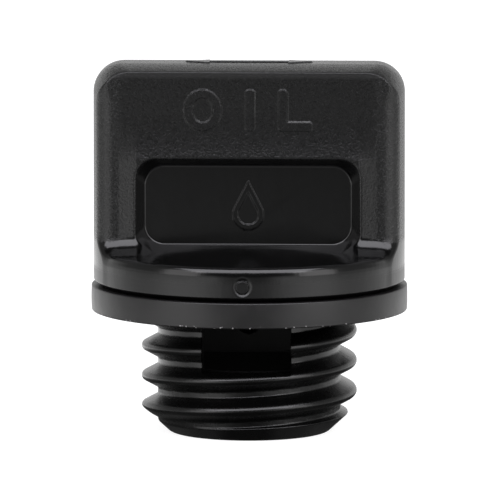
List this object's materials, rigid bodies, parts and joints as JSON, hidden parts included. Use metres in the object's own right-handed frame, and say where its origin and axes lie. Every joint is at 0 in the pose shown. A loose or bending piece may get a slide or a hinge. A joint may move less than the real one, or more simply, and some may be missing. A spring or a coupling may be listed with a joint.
{
  "type": "oil filler cap",
  "caption": "Black moulded screw-in oil filler cap with a broad bar grip, a round flange, a flat sealing ring and a hollow coarse-threaded plug.",
  "frame": {"origin": "centre of the plug's open end, on the axis of the thread, in the plane of the end face that the cap stands on", "axes": "+Z along the thread's axis, from the plug's end to the top of the grip; X along the length of the grip's bar; -Y towards the side of the rim with the injection point's stub"},
  "size_m": [0.0522, 0.0522, 0.0615],
  "materials": {
    "moulded_plastic": "black glass-filled plastic: fine spark-eroded grain on the grip, smooth and slightly glossy on the flange, pockets and thread",
    "seal_rubber": "satin black rubber with a fine moulding line"
  },
  "bodies": {
    "root": {"cap_body": "moulded_plastic", "sealing_ring": "seal_rubber"}
  },
  "joints": []
}
